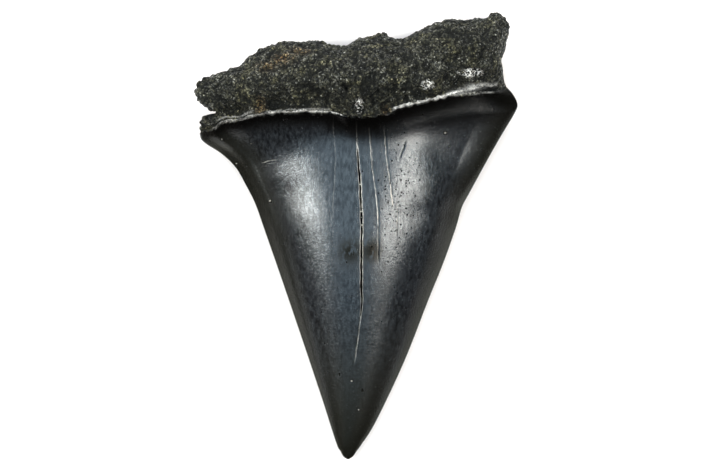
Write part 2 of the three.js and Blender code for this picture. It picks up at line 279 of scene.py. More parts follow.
# The neck mask paints shade on the enamel below the root's rim
NECK_START = 0.3
NECK_REACH = (2.2, 5.0)  # at the left and in the middle
NECK_LENGTHENS = (-4.5, -1)  # in x
NECK_MORE = 1.5  # at the right, on top of the middle's
NECK_MORE_FROM = (1, 6)
CUTTING_EDGES = (0.0, 0.16)
TIP_RANGE = (0.5, 1.0)

# The mesh. Down the crown and on the hidden face only some of the columns are kept.
COLUMNS = 352
ROOT_ROWS = 84
CROWN_ROWS = 150
LOWER_CROWN_FROM = 76  # rows below the enamel line
ROOT_CROWDING = 0.75  # how much closer the rows are at both ends
CROWN_CROWDING = 0.4
FINE_SHARES = 4001
EDGE_CROWDING = 2.0
EDGE_REACH = 0.03
CRACK_CROWDING = [(2.5, 0.505, 0.02, 2), (1.2, 0.52, 0.14, 4)]  # amount, middle, half width, power
CURVE_STEPS = 24  # between two points of an outline
NOTCH_DEPTH = 0.02  # share that is left of what reached into the bite
FAR_LEFT = -30
LAYOUT_WIDTHS = 3.1
LAYOUT_GAP = 1
LAYOUT_FILL = 0.98
LAYOUT_INSET = 0.01


def smoothstep(x, low, high):
    t = np.clip((x - low) / (high - low), 0, 1)
    return t * t * (3 - 2 * t)


def lerp(a, b, t):
    return a + (b - a) * t


def bump(x, middle, half_width, power=2):
    """One at the middle and fading to both sides, with a flatter top for a higher even power."""
    return np.exp(-(((x - middle) / half_width) ** power))


def spot(x, y, place):
    """One at the middle of a place and fading outwards."""
    return np.exp(-(((x - place[0]) / place[2]) ** 2) - ((y - place[1]) / place[3]) ** 2)


def between(x, start, end, fade=0.5):
    """One between the start and the end, with a soft fade inside each."""
    return smoothstep(x, start, start + fade) * (1 - smoothstep(x, end - fade, end))


def off_edges(u, slope):
    """Zero at the left and right edges and one further in."""
    return np.minimum(1, np.minimum(slope * u, slope * (1 - u)))


def curve_through(points):
    """A smooth curve through the points: short steps, each with its share of the length."""
    p = np.array(points, float)
    p = np.vstack([2 * p[0] - p[1], p, 2 * p[-1] - p[-2]])
    t = np.linspace(0, 1, CURVE_STEPS, endpoint=False)[:, None]
    steps = []
    for before, a, b, after in zip(p, p[1:], p[2:], p[3:]):
        bend = (2 * before - 5 * a + 4 * b - after) * t**2 + (3 * a - before - 3 * b + after) * t**3
        steps.append(a + 0.5 * ((b - before) * t + bend))
    path = np.vstack(steps + [p[-2:-1]])
    length = np.concatenate([[0], np.cumsum(np.hypot(*np.diff(path, axis=0).T))])
    return path, length / length[-1]


def point_at(curve, share):
    """The point at a share of the curve's length."""
    path, shares = curve
    return np.interp(share, shares, path[:, 0]), np.interp(share, shares, path[:, 1])


def bow_of(points, u):
    """How far a curve from left to right stands off its own chord, in y."""
    path, _ = curve_through(points)
    x = lerp(path[0, 0], path[-1, 0], u)
    return np.interp(x, path[:, 0], path[:, 1]) - lerp(path[0, 1], path[-1, 1], u)


def corner_value(i, j, k):
    """A repeatable random number from -1 to 1 for each corner of a grid."""
    a, b, c = HASH_STEPS
    s = np.sin(i * a + j * b + k * c) * HASH_SCALE
    return 2 * (s - np.floor(s)) - 1


def smooth_field(x, y, z):
    """Repeatable smooth random numbers from -1 to 1, with lumps one unit across."""
    i, j, k = np.floor(x), np.floor(y), np.floor(z)
    a, b, c = (f * f * (3 - 2 * f) for f in (x - i, y - j, z - k))
    total = 0
    for di, wi in ((0, 1 - a), (1, a)):
        for dj, wj in ((0, 1 - b), (1, b)):
            for dk, wk in ((0, 1 - c), (1, c)):
                total = total + wi * wj * wk * corner_value(i + di, j + dj, k + dk)
    return total


def grain_field(x, y, z):
    """Repeatable packed grains one unit across: one on the crown of a grain, less between grains,
    and some grains stand lower than others."""
    i, j, k = np.floor(x), np.floor(y), np.floor(z)
    nearest, height = np.full(x.shape, np.inf), np.zeros(x.shape)
    for step in np.ndindex(3, 3, 3):
        a, b, c = i + step[0] - 1, j + step[1] - 1, k + step[2] - 1
        centre = [
            n + 0.5 + GRAIN_WANDER * corner_value(a + seed, b - seed, c + 2 * seed)
            for n, seed in zip((a, b, c), GRAIN_SEEDS)
        ]
        distance = np.sqrt(sum((p - q) ** 2 for p, q in zip((x, y, z), centre)))
        closer = distance < nearest
        nearest = np.where(closer, distance, nearest)
        level = corner_value(*(n + seed for n, seed in zip((a, b, c), LEVEL_SEEDS)))
        height = np.where(closer, level, height)
    return 1 - GRAIN_FALL * nearest**GRAIN_CURVE + GRAIN_UNEVENNESS * height


def closer_at_ends(s, amount):
    """Shares that are closer together near both ends."""
    return s - amount / (2 * math.pi) * np.sin(2 * math.pi * s)


def column_shares():
    """Shares of the width, closer at both edges and where the cracks run."""
    s = np.linspace(0, 1, FINE_SHARES)
    near_edges = np.exp(-s / EDGE_REACH) + np.exp(-(1 - s) / EDGE_REACH)
    near_cracks = sum(amount * bump(s, *where) for amount, *where in CRACK_CROWDING)
    reach = np.cumsum(1 + EDGE_CROWDING * near_edges + near_cracks)
    reach = (reach - reach[0]) / (reach[-1] - reach[0])
    return np.interp(np.linspace(0, 1, COLUMNS + 1), reach, s)


def edge_height(w):
    """The height of the crown's cutting edges over the ground."""
    return lerp(EDGE_HEIGHT_BASE, EDGE_HEIGHT_TIP, w)


def keel_height(w):
    """The height of the hidden face's middle line, which rises to the root and to the tip."""
    towards_root = KEEL_RISE_BASE * (1 - smoothstep(w, *KEEL_SETTLES))
    return towards_root + KEEL_RISE_TIP * smoothstep(w, *KEEL_RISES) ** KEEL_CURVE - KEEL_SINK


def dome_along(w):
    """The height of the dome's middle line, from 1 at the neck to 0 at the tip."""
    fallen, at_neck, at_tip = (np.log(1 + np.exp((s - BULGE_END) / BULGE_BLEND)) for s in (w, 0, 1))
    return np.maximum(0, 1 - (fallen - at_neck) / (at_tip - at_neck)) ** TIP_CURVE


def crown_top(u, w, below):
    """The domed enamel, with its steeper foot just below the enamel line."""
    t = 2 * u - 1
    from_crest = np.abs(t - CREST_OFFSET) / (1 - np.sign(t - CREST_OFFSET) * CREST_OFFSET)
    dome = np.maximum(0, 1 - from_crest**DOME_POWER)
    rise = CROWN_RISE * dome_along(w)
    foot_length = lerp(FOOT_LENGTH_LEFT, FOOT_LENGTH_RIGHT, u)
    foot = FOOT_RISE * np.maximum(0, 1 - below / foot_length) ** FOOT_CURVE * dome**FOOT_SPREAD
    return edge_height(w) + rise * dome + foot


def crown_bottom(u, w):
    """The enamel of the hidden face, nearly flat between the edges and the keel."""
    dome = np.maximum(0, 1 - np.abs(2 * u - 1) ** LABIAL_POWER) ** LABIAL_CURVE
    return edge_height(w) - (edge_height(w) - keel_height(w)) * dome * (1 - w**TIP_CLOSING)


def root_fullness(u, w):
    """Zero on the root's edge and one where it is as thick as it gets."""
    across = np.sqrt(np.maximum(0, 1 - np.abs(2 * u - 1) ** ROOT_SQUARENESS))
    along = np.sqrt(1 - (1 - np.minimum(1, w / ROOT_ROUNDED)) ** 2)
    return across * along


def root_rim_height(w):
    return lerp(ROOT_RIM_HEIGHT, EDGE_HEIGHT_BASE, smoothstep(w, *ROOT_RIM_FALLS))


def ledge_share(u, w):
    return (1 - smoothstep(w, *LEDGE_DROPS)) * off_edges(u, LEDGE_SLOPE)


def into_neck(w):
    return smoothstep(w, *ROOT_NECK)


def ledge_height(u):
    """The root's rim over the enamel: worn away in the middle, proud on the right."""
    proud = LEDGE_LEFT + LEDGE_MORE * smoothstep(u, *LEDGE_PROUD)
    return LEDGE_HEIGHT * proud * (1 - LEDGE_WEAR * bump(u, *LEDGE_WORN))


def root_top(u, w):
    """The root seen in the photo: two lobes and a bulge, which dips to the enamel at the neck."""
    bulge = spot(2 * u - 1, w, ROOT_BULGE)
    full = lerp(lerp(LEFT_LOBE_TOP, RIGHT_LOBE_TOP, u), ROOT_THICKNESS, bulge)
    free = lerp(root_rim_height(w), full, root_fullness(u, w))
    return lerp(free, crown_top(u, 0, 0) + ledge_height(u) * ledge_share(u, w), into_neck(w))


def root_bottom(u, w):
    """The root's hidden side, which is clear of the ground apart from a spot under each lobe."""
    on_lobe = spot(np.abs(2 * u - 1), w, LABIAL_LOBE)
    free = lerp(root_rim_height(w), ROOT_CLEARANCE - LOBE_DROP * on_lobe, root_fullness(u, w))
    return lerp(free, crown_bottom(u, 0) + LABIAL_LEDGE * ledge_share(u, w), into_neck(w))


def row_shares():
    """Shares down the root and then down the crown, with the enamel line's row in both."""
    root = closer_at_ends(np.linspace(0, 1, ROOT_ROWS + 1), ROOT_CROWDING)
    crown = closer_at_ends(np.linspace(0, 1, CROWN_ROWS + 1), CROWN_CROWDING)[1:]
    in_root = np.arange(ROOT_ROWS + CROWN_ROWS + 1) <= ROOT_ROWS
    return np.concatenate([root, crown])[:, None], in_root[:, None]


def along_crack(y, points):
    """One along the crack, fading out at both ends."""
    top, end = points[0][1], points[-1][1]
    return smoothstep(y, end, end + CRACK_FADE) * (1 - smoothstep(y, top - CRACK_START, top))


def beside_crack(sheet, points):
    """How far a point is to the right of a crack, and how much of the crack is there."""
    x, y = sheet["x"], sheet["y"]
    path = np.array(points)[::-1]
    wander = CRACK_WANDER * smooth_field(y * WANDER_RATE, y * 0, y * 0 + WANDER_SEED)
    across = x - np.interp(y, path[:, 1], path[:, 0]) - wander
    return across, along_crack(y, points) * (1 - sheet["in_root"])


def carve_main_crack(sheet):
    """The open crack: a groove painted dark as its shade, between two thin pale lips, closed where
    enamel bridges it.
    """
    across, present = beside_crack(sheet, MAIN_CRACK)
    y = sheet["y"]
    opening = smoothstep(y, *CRACK_OPENS) * (1 - smoothstep(y, *CRACK_CLOSES))
    bridge = np.clip(sum(bump(y, place, BRIDGE_HALF, 4) for place in CRACK_BRIDGES), 0, 1)
    varied = CRACK_UNEVENNESS * smooth_field(y * 0, y * UNEVEN_RATE, y * 0 + UNEVEN_SEED)
    half_width = CRACK_HALF_WIDTH + CRACK_OPENING * opening * (CRACK_EVENNESS + varied)
    groove = bump(across, 0, half_width, 4) * present * (1 - bridge)
    lips = bump(np.abs(across) - half_width, LIP_WIDTH, LIP_WIDTH) * present
    depth = CRACK_DEPTH + CRACK_OPEN_DEPTH * opening
    sheet["z"] += LIP_HEIGHT * lips * opening - depth * groove
    near = np.abs(across) < MARK_REACH
    sheet["across"] = np.where(near, across, sheet["across"])
    dark_line = np.minimum(half_width, DARK_LINE_GAIN * opening)
    sheet["open"] = np.where(near, dark_line, sheet["open"])
    sheet["lip"] += near * present * lerp(CLOSED_LIP, 1.0, opening)
    from_bridges = np.stack([y - place for place in CRACK_BRIDGES])
    nearest = np.abs(from_bridges).argmin(axis=0)[None]
    sheet["bridge"] = np.take_along_axis(from_bridges, nearest, axis=0)[0]


def carve_fine_cracks(sheet):
    """Hairline cracks: a pale raised side and a groove to the right of it, with a line of painted shade
    along the groove.
    """
    fading = lerp(FINE_LIP_END, 1.0, smoothstep(sheet["y"], *FINE_LIP_FADES))
    for points, pale, dark in FINE_CRACKS:
        across, present = beside_crack(sheet, points)
        lip = bump(across, 0, FINE_WIDTH) * present
        groove = bump(across, FINE_GROOVE_AT, FINE_WIDTH) * present
        sheet["z"] += FINE_LIP * pale * lip - FINE_GROOVE * dark * groove
        near = np.abs(across) < MARK_REACH
        sheet["across"] = np.where(near, across, sheet["across"])
        sheet["lip"] += near * pale * present * fading
        sheet["shade"] += near * dark * present


def mark_pale_scratch(sheet):
    """The short pale scratch, which runs across the crown."""
    path = np.array(PALE_SCRATCH)
    above = sheet["y"] - np.interp(sheet["x"], path[:, 0], path[:, 1])
    near = (np.abs(above) < MARK_REACH) * (1 - sheet["in_root"])
    along = between(sheet["x"], path[0, 0] - SCRATCH_MARGIN, path[-1, 0] + SCRATCH_MARGIN)
    sheet["across"] = np.where(near * along > 0, above, sheet["across"])
    sheet["lip"] += SCRATCH_PALE * near * along


def mark_chips_and_crevices(sheet):
    x, y = sheet["x"], sheet["y"]
    for middle_x, middle_y, radius in CHIPS:
        reach = CHIP_REACH * radius
        sheet["chip"] += spot(x, y, (middle_x, middle_y, reach, reach))
    # Crevices are sunk, and the dark mask paints their shade
    for place in CREVICES:
        mark = spot(x, y, place) * sheet["in_root"]
        sheet["z"] -= place[4] * mark
        sheet["dark"] += mark


def mark_rim(sheet):
    """The rim's bright line, a painted highlight on its worn edge, and, on the right, the gap, painted
    dark as its shade, and the thin pale edge below it.
    """
    x, above = sheet["x"], -sheet["below"]
    middle = RIM_HEIGHT + RIM_LIFT * np.clip(x - RIM_PARTS, 0, RIM_PARTED_LENGTH)
    breadth = lerp(*RIM_BREADTH, smoothstep(x, *RIM_BROADENS))
    present = sum(share * between(x, start, end) for start, end, share in RIM_STRETCHES)
    present = present * (1 - RIM_DULLING * smoothstep(x, *RIM_DULLS)) * sheet["in_root"]
    sheet["rim"] += present * bump(above, middle, breadth)
    for start, end, height, share in RIM_LAYERS:
        line = share * between(x, start, end) * sheet["in_root"]
        sheet["rim"] += line * bump(above, height, LAYER_BREADTH)
    # The gap is sunk and painted dark as its shade
    parted = between(x, GAP_FROM, GAP_TO, GAP_FADE) * sheet["in_root"]
    gap = parted * bump(above, GAP_PLACE * middle, GAP_BREADTH * middle)
    sheet["z"] -= GAP_DEPTH * gap
    sheet["dark"] += gap
    sheet["rim"] += THIN_EDGE_PALE * parted * bump(above, *THIN_EDGE)


def draw_sheet(lingual):
    """One face of the tooth: positions and finish masks of every row and column."""
    u = column_shares()[None, :]
    w, in_root = row_shares()
    root_left, root_right = (point_at(curve_through(c), w) for c in (ROOT_LEFT, ROOT_RIGHT))
    crown_left, crown_right = (point_at(curve_through(c), w) for c in (CROWN_LEFT, CROWN_RIGHT))
    left = [np.where(in_root, a, b) for a, b in zip(root_left, crown_left)]
    right = [np.where(in_root, a, b) for a, b in zip(root_right, crown_right)]
    x, y = (lerp(a, b, u) for a, b in zip(left, right))
    shift = 0 if lingual else LABIAL_SHIFT * (1 - (2 * u - 1) ** 2)
    enamel = bow_of(ENAMEL_LINE, u) + shift
    y = y + np.where(in_root, (1 - w) * bow_of(BASAL_EDGE, u) + w * enamel, (1 - w) ** 2 * enamel)
    if lingual:
        z = np.where(in_root, root_top(u, w), crown_top(u, w, y[ROOT_ROWS] - y))
        z = z - off_edges(u, HOLLOW_SLOPE) * sum(place[4] * spot(x, y, place) for place in HOLLOWS)
    else:
        z = np.where(in_root, root_bottom(u, w), crown_bottom(u, w))
    flat = np.zeros_like(x)
    rough = np.where(in_root, lerp(ROUGH_AT_EDGE, 1, root_fullness(u, w)), 0)
    sheet = {
        "x": x, "y": y, "z": z, "u": u + flat, "w": w + flat, "in_root": in_root + flat,
        "below": y[ROOT_ROWS] - y, "rough": rough + flat, "lingual": flat + lingual,
        "across": flat + AWAY, "bridge": flat + AWAY,
    }
    for name in ("dark", "chip", "rim", "open", "lip", "shade"):
        sheet[name] = flat.copy()
    if lingual:
        carve_main_crack(sheet)
        carve_fine_cracks(sheet)
        mark_pale_scratch(sheet)
        mark_chips_and_crevices(sheet)
        mark_rim(sheet)
    return sheet


def open_notch(sheet):
    """Pushes what lies inside the bite back to its inner edge."""
    edge = np.array(NOTCH_EDGE)
    limit = np.interp(sheet["y"], edge[:, 1], edge[:, 0], left=FAR_LEFT, right=FAR_LEFT)
    inside = sheet["x"] < limit
    sheet["x"] = np.where(inside, limit + NOTCH_DEPTH * (sheet["x"] - limit), sheet["x"])


def strip_faces(upper, lower, flip):
    """Faces between two rows, where the lower row may have half the columns."""
    step = (len(upper) - 1) // (len(lower) - 1)
    faces = []
    for k in range(len(lower) - 1):
        ring = list(upper[k * step:(k + 1) * step + 1]) + [lower[k + 1], lower[k]]
        ring = [v for n, v in enumerate(ring) if v != ring[n - 1]]
        if len(ring) > 2:
            faces.append(ring[::-1] if flip else ring)
    return faces


def columns_of(row, lingual):
    """Which columns a row keeps: fewer down the crown, and fewer on the hidden face."""
    if row <= ROOT_ROWS:
        step = 1 if lingual else 2
    elif row <= ROOT_ROWS + LOWER_CROWN_FROM:
        step = 1 if lingual else 4
    else:
        step = 2 if lingual else 8
    return np.arange(0, COLUMNS + 1, step)


def join_sheets():
    """Where each vertex of the mesh comes from, and the faces of both sheets, which share the rim."""
    rows = ROOT_ROWS + CROWN_ROWS
    index = {lingual: np.full((rows + 1, COLUMNS + 1), -1) for lingual in (True, False)}
    origin = []
    for lingual in (True, False):
        for row in range(rows):
            for column in columns_of(row, lingual):
                at_rim = column in (0, COLUMNS) or row == 0
                if at_rim and not lingual:
                    index[False][row, column] = index[True][row, column]
                else:
                    index[lingual][row, column] = len(origin)
                    origin.append((lingual, row, column))
    index[False][0] = index[True][0]
    index[True][rows] = index[False][rows] = len(origin)
    origin.append((True, rows, 0))
    faces = {True: [], False: []}
    for lingual in (True, False):
        kept = [index[lingual][row, columns_of(row, lingual or row == 0)] for row in range(rows + 1)]
        for upper, lower in zip(kept, kept[1:]):
            faces[lingual] += strip_faces(upper, lower, lingual)
    return np.array(origin), faces[True], faces[False]


def flat_lengths(sheet):
    """A flat layout of a sheet by the lengths along its rows and down its middle column."""
    x, y, z = sheet["x"], sheet["y"], sheet["z"]
    along = np.sqrt(np.diff(x, axis=1) ** 2 + np.diff(y, axis=1) ** 2 + np.diff(z, axis=1) ** 2)
    across = np.concatenate([np.zeros((len(x), 1)), np.cumsum(along, axis=1)], axis=1)
    middle = COLUMNS // 2
    down = np.sqrt(sum(np.diff(a[:, middle]) ** 2 for a in (x, y, z)))
    down = np.concatenate([[0], np.cumsum(down)])[:, None] + 0 * across
    return across - across[:, middle:middle + 1], down


def vertex_normals(mesh):
    normals = np.empty(3 * len(mesh.vertices))
    mesh.vertex_normals.foreach_get("vector", normals)
    return normals.reshape(-1, 3)


def root_relief(place, values):
    """How far the root's surface is pushed out: lumps, grains and the fibres of its right end."""
    x, y, z = place.T
    smooth_edge = 1 - smoothstep(values["w"], *LUMPS_END)
    lumps = sum(h * smooth_field(x / s, y / s, z / s) for s, h in LUMPS) * smooth_edge
    grains = sum(h * grain_field(x / s + h, y / s, z / s) for s, h in GRAINS) - GRAIN_SINK
    fibres = smoothstep(x, *FIBRES_START) * (1 - smoothstep(y, *FIBRES_END))
    grooves = FIBRE_HEIGHT * smooth_field(*(a / s for a, s in zip((x, y, z), FIBRE_SIZE)))
    grains = lerp(grains, grooves + FIBRE_GRAINS * grains, fibres)
    fade = 1 - smoothstep(values["w"], *GRAINS_END)
    worn = 1 - WORN_SMOOTH * spot(x, values["below"], WORN_RIM)
    rim = 1 - RIM_SMOOTH * np.clip(values["rim"], 0, 1)
    grains = grains * fade * worn * rim * values["in_root"]
    return lumps * values["rough"] + grains * lerp(GRAINS_AT_EDGE, 1, values["rough"]), grains


def tooth_mesh():
    """The whole tooth as one mesh, with its finish masks and its flat layout."""
    top, bottom = draw_sheet(True), draw_sheet(False)
    layouts = {True: flat_lengths(top), False: flat_lengths(bottom)}
    origin, lingual_faces, labial_faces = join_sheets()
    open_notch(top)
    open_notch(bottom)
    is_top = origin[:, 0] == 1
    row, column = origin[:, 1], origin[:, 2]
    values = {name: np.where(is_top, top[name][row, column], bottom[name][row, column]) for name in top}
    place = np.stack([values["x"], values["y"], values["z"]], axis=1)
    mesh = bpy.data.meshes.new("fossil_tooth")
    mesh.from_pydata(place, [], lingual_faces + labial_faces)
    mesh.update()
    push, grains = root_relief(place, values)
    place = place + vertex_normals(mesh) * push[:, None]
    place[:, 2] = np.maximum(place[:, 2], 0)
    middle = (place.min(0) + place.max(0)) / 2
    place -= [middle[0], middle[1], place[:, 2].min()]
    low, high = (np.array(corner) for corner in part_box("tooth"))
    place = place * MM + [(low[0] + high[0]) / 2, (low[1] + high[1]) / 2, low[2]]
    mesh.vertices.foreach_set("co", place.ravel())
    mesh.shade_smooth()
    add_masks(mesh, values, grains)
    add_layout(mesh, origin, layouts, len(lingual_faces))
    mesh.update()
    return mesh


def add_masks(mesh, values, grains):
    """Stores the finish masks on the vertices, for the material to read."""
    x, y, below = values["x"], values["y"], values["below"]
    in_crown = 1 - values["in_root"]
    ragged = sum(h * smooth_field(x / s, y / s, y * 0) for s, h in RAGGED_LINE)
    from_edge = np.minimum(values["u"], 1 - values["u"])
    neck_reach = lerp(*NECK_REACH, smoothstep(x, *NECK_LENGTHENS))
    neck_reach = neck_reach + NECK_MORE * smoothstep(x, *NECK_MORE_FROM)
    masks = {
        "root": smoothstep(ragged - below, *ROOT_EDGE),
        # painted shade between the root's grains, where their relief is low
        "grain_shade": smoothstep(-grains, *HOLLOW_GRAIN) * values["in_root"],
        # painted shade on the enamel below the root's rim
        "neck": (1 - smoothstep(below, NECK_START, neck_reach)) * values["lingual"],
        "edge": (1 - smoothstep(from_edge, *CUTTING_EDGES)) * in_crown,
        "tip": smoothstep(values["w"], *TIP_RANGE) * in_crown,
        "stain": sum(spot(x, y, place) for place in STAINS) * values["lingual"],
        "rust": sum(spot(x, y, place) for place in RUST_PATCHES),
        # painted highlights: glints on the root's facets
        "glint": sum(spot(x, y, place) for place in GLINTS) * values["lingual"],
        "pitted": spot(x, y, PITTED) * values["lingual"],
    }
    # dark carries painted shade in crevices and the rim's gap; rim carries the painted highlight along
    # the root's rim, with some pale layers
    for name in ("dark", "across", "open", "lip", "shade", "bridge", "chip", "rim"):
        masks[name] = values[name]
    for name, mask in masks.items():
        layer = mesh.attributes.new(name, "FLOAT", "POINT")
        layer.data.foreach_set("value", np.clip(mask, -1, 1).astype(np.float32))


def add_layout(mesh, origin, layouts, lingual_faces):
    """The flat layout for baking: both sheets head to tail in one square. The lingual sheet's faces
    come first."""
    corner_vertex = np.empty(len(mesh.loops), int)
    mesh.loops.foreach_get("vertex_index", corner_vertex)
    counts = np.empty(len(mesh.polygons), int)
    mesh.polygons.foreach_get("loop_total", counts)
    labial = np.repeat(np.arange(len(counts)) >= lingual_faces, counts)
    row, column = origin[corner_vertex, 1], origin[corner_vertex, 2]
    across, down = (
        np.where(labial, hidden[row, column], shown[row, column])
        for shown, hidden in zip(layouts[True], layouts[False])
    )
    size = max(layouts[k][1].max() for k in (True, False))
    start = np.abs(layouts[True][0]).max() + LAYOUT_GAP
    span = LAYOUT_WIDTHS * np.abs(layouts[True][0]).max() + 2 * LAYOUT_GAP
    scale = LAYOUT_FILL / max(span, size + LAYOUT_GAP)
    u = np.where(labial, span - start - across, start + across) * scale
    v = np.where(labial, size - down, down) * scale
    layer = mesh.uv_layers.new(name="OFBake")
    layer.data.foreach_set("uv", np.stack([u, v], axis=1).ravel() + LAYOUT_INSET)


# Materials

ENAMEL_BLACK = (0.001, 0.001, 0.002)
ENAMEL_SLATE = (0.018, 0.021, 0.024)
ENAMEL_CLOUD = (0.010, 0.011, 0.013)
CUTTING_EDGE_OLIVE = (0.022, 0.021, 0.014)
STAIN_BROWN = (0.012, 0.010, 0.007)
# Painted shade: near black below the root's rim
NECK_PAINTED_SHADE = (0.004, 0.003, 0.002)
# Painted shade: near black in crevices, crack grooves and pits
RECESS_SHADE_BLACK = (0.001, 0.001, 0.001)
CRACK_PALE = (0.78, 0.76, 0.69)
CHIP_PALE = (0.50, 0.49, 0.45)
CHIP_RING = (0.002, 0.002, 0.001)
BONE_BLACK = (0.003, 0.003, 0.002)
BONE_OLIVE = (0.086, 0.084, 0.053)
BONE_YELLOW = (0.118, 0.110, 0.047)
# Painted shade between the root's grains, in its crevices and in the rim's gap
GAP_PAINTED_SHADE = (0.002, 0.002, 0.001)
GRAIN_PALE = (0.47, 0.47, 0.41)
GRAIN_YELLOW = (0.43, 0.39, 0.18)
RUST_DARK = (0.16, 0.08, 0.02)
RUST_PALE = (0.55, 0.45, 0.24)
# Painted highlight: the root's glints and the bright line along its rim
PAINTED_HIGHLIGHT_WHITE = (0.85, 0.84, 0.80)
MIRROR_TINT = (0.88, 0.95, 1.0, 1)
MIRROR_INDEX = 1.62

# How much of a mask the finish takes, and what a finish goes from and to
EDGE_OLIVE = 0.8
EDGE_MATT = 0.75
STAIN_GAIN = 1.6
STAIN_MATT = 0.95
# share of painted shade below the root's rim, in colour and matt
NECK_SHADE_SHARE = 0.85
MARK_ROUGHNESS = 0.5
MOTTLED_MATT = (0.4, 0.0)
ENAMEL_ROUGHNESS = (0.18, 0.28)
SHADED_DARK = 0.75
STROKE_PALE = 0.8
# share of painted shade between the root's grains
GAP_SHADE_SHARE = 0.9
BONE_MATT = (0.7, 0.0)
BONE_ROUGHNESS = (0.45, 0.9)
NOISE_ROUGHNESS = 0.6

# Levels of the masks, and the pits' form as shares of their cells
CHIP_RING_LEVELS = (0.62, 0.72)
CHIP_LEVELS = (0.84, 0.92)
GLINT_LEVELS = (0.25, 0.7)
PIT_RADIUS = (0.08, 0.17)
PIT_UNEVENNESS = 0.16
PIT_SHARE = (0.03, 0.95)  # of the cells with a pit: elsewhere, and in the pitted place

# Heights and widths that the materials draw, in millimetres
ENAMEL_GRAIN_HEIGHT = 0.022
ENAMEL_CLOUD_HEIGHT = 0.015
PIT_DEPTH = 0.03
BONE_GRAIN_HEIGHT = 0.08
BONE_CELL_HEIGHT = 0.10
BRIDGE_LINE = 0.07  # half width
LIP_LINE = 0.02
LIP_LINE_AT = 0.025  # from the side of the opening
SHADE_LINE = 0.02
SHADE_LINE_AT = 0.09  # to the right of the crack
LINE_SOFTNESS = (-0.015, 0.02)  # inside and outside the side of a line


def add_node(tree, kind, **settings):
    node = tree.nodes.new(kind)
    for name, value in settings.items():
        if name in node.inputs:
            node.inputs[name].default_value = value
        else:
            setattr(node, name, value)
    return node


def link(tree, source, target):
    tree.links.new(source, target)


def mask_of(tree, name):
    """Reads one of the finish masks on the vertices."""
    return add_node(tree, "ShaderNodeAttribute", attribute_name=name).outputs["Fac"]


def mix_colour(tree, share, first, second):
    """Mixes two colours, each a socket or plain numbers, by a share."""
    node = add_node(tree, "ShaderNodeMix", data_type="RGBA")
    for number, value in ((0, share), (6, first), (7, second)):
        if isinstance(value, bpy.types.NodeSocket):
            link(tree, value, node.inputs[number])
        else:
            node.inputs[number].default_value = value if number == 0 else (*value, 1)
    return node.outputs[2]


def calc(tree, operation, first, second=0.0):
    node = add_node(tree, "ShaderNodeMath", operation=operation)
    for number, value in enumerate((first, second)):
        if isinstance(value, bpy.types.NodeSocket):
            link(tree, value, node.inputs[number])
        else:
            node.inputs[number].default_value = value
    return node.outputs[0]


def times(tree, first, second):
    return calc(tree, "MULTIPLY", first, second)


def rest_of(tree, share):
    return calc(tree, "SUBTRACT", 1.0, share)


def highest(tree, first, *others):
    """The highest of two or more values."""
    for other in others:
        first = calc(tree, "MAXIMUM", first, other)
    return first


def from_level(tree, value, level):
    """How far a value is from a level, to either side."""
    return calc(tree, "ABSOLUTE", calc(tree, "SUBTRACT", value, level))


def ranged(tree, value, low, high, to_low=0.0, to_high=1.0):
    """Maps a value from one range to another and holds it there."""
    node = add_node(tree, "ShaderNodeMapRange")
    link(tree, value, node.inputs["Value"])
    for name, number in (("From Min", low), ("From Max", high), ("To Min", to_low), ("To Max", to_high)):
        node.inputs[name].default_value = number
    return node.outputs["Result"]


def grain_of(tree, place, size, detail=2.0, stretch=(1, 1, 1)):
    """Noise with grains of a size in millimetres. Its values are mostly between 0.3 and 0.7."""
    mapping = add_node(tree, "ShaderNodeMapping")
    mapping.inputs["Scale"].default_value = [s / (size * MM) for s in stretch]
    link(tree, place, mapping.inputs["Vector"])
    node = add_node(tree, "ShaderNodeTexNoise", Scale=1.0, Detail=detail, Roughness=NOISE_ROUGHNESS)
    link(tree, mapping.outputs[0], node.inputs["Vector"])
    return node.outputs["Fac"]


def new_group(name, inputs, outputs):
    group = bpy.data.node_groups.new(name, "ShaderNodeTree")
    for kind, sockets in (("INPUT", inputs), ("OUTPUT", outputs)):
        for socket, socket_type in sockets.items():
            group.interface.new_socket(socket, in_out=kind, socket_type=socket_type)
    return group, group.nodes.new("NodeGroupInput"), group.nodes.new("NodeGroupOutput")


# Matt goes to the shader's Metallic: a near-black metal has next to no mirror, so dark marks stay dark
FINISH = {
    "Color": "NodeSocketColor", "Roughness": "NodeSocketFloat", "Matt": "NodeSocketFloat",
    "Height": "NodeSocketFloat",
}


def cells_of(tree, place, size):
    """Cells of a size in millimetres: the distance to the nearest middle and two random values."""
    mapping = add_node(tree, "ShaderNodeMapping")
    mapping.inputs["Scale"].default_value = [1 / (size * MM)] * 3
    link(tree, place, mapping.inputs["Vector"])
    node = add_node(tree, "ShaderNodeTexVoronoi", Scale=1.0)
    link(tree, mapping.outputs[0], node.inputs["Vector"])
    split = add_node(tree, "ShaderNodeSeparateColor")
    link(tree, node.outputs["Color"], split.inputs[0])
    return node.outputs["Distance"], split.outputs[0], split.outputs[1]


def line_at(tree, distance, half_width):
    """One on a thin line: where the distance is less than the half width, in millimetres."""
    past_side = calc(tree, "SUBTRACT", calc(tree, "ABSOLUTE", distance), half_width)
    return ranged(tree, past_side, *LINE_SOFTNESS, 1.0, 0.0)


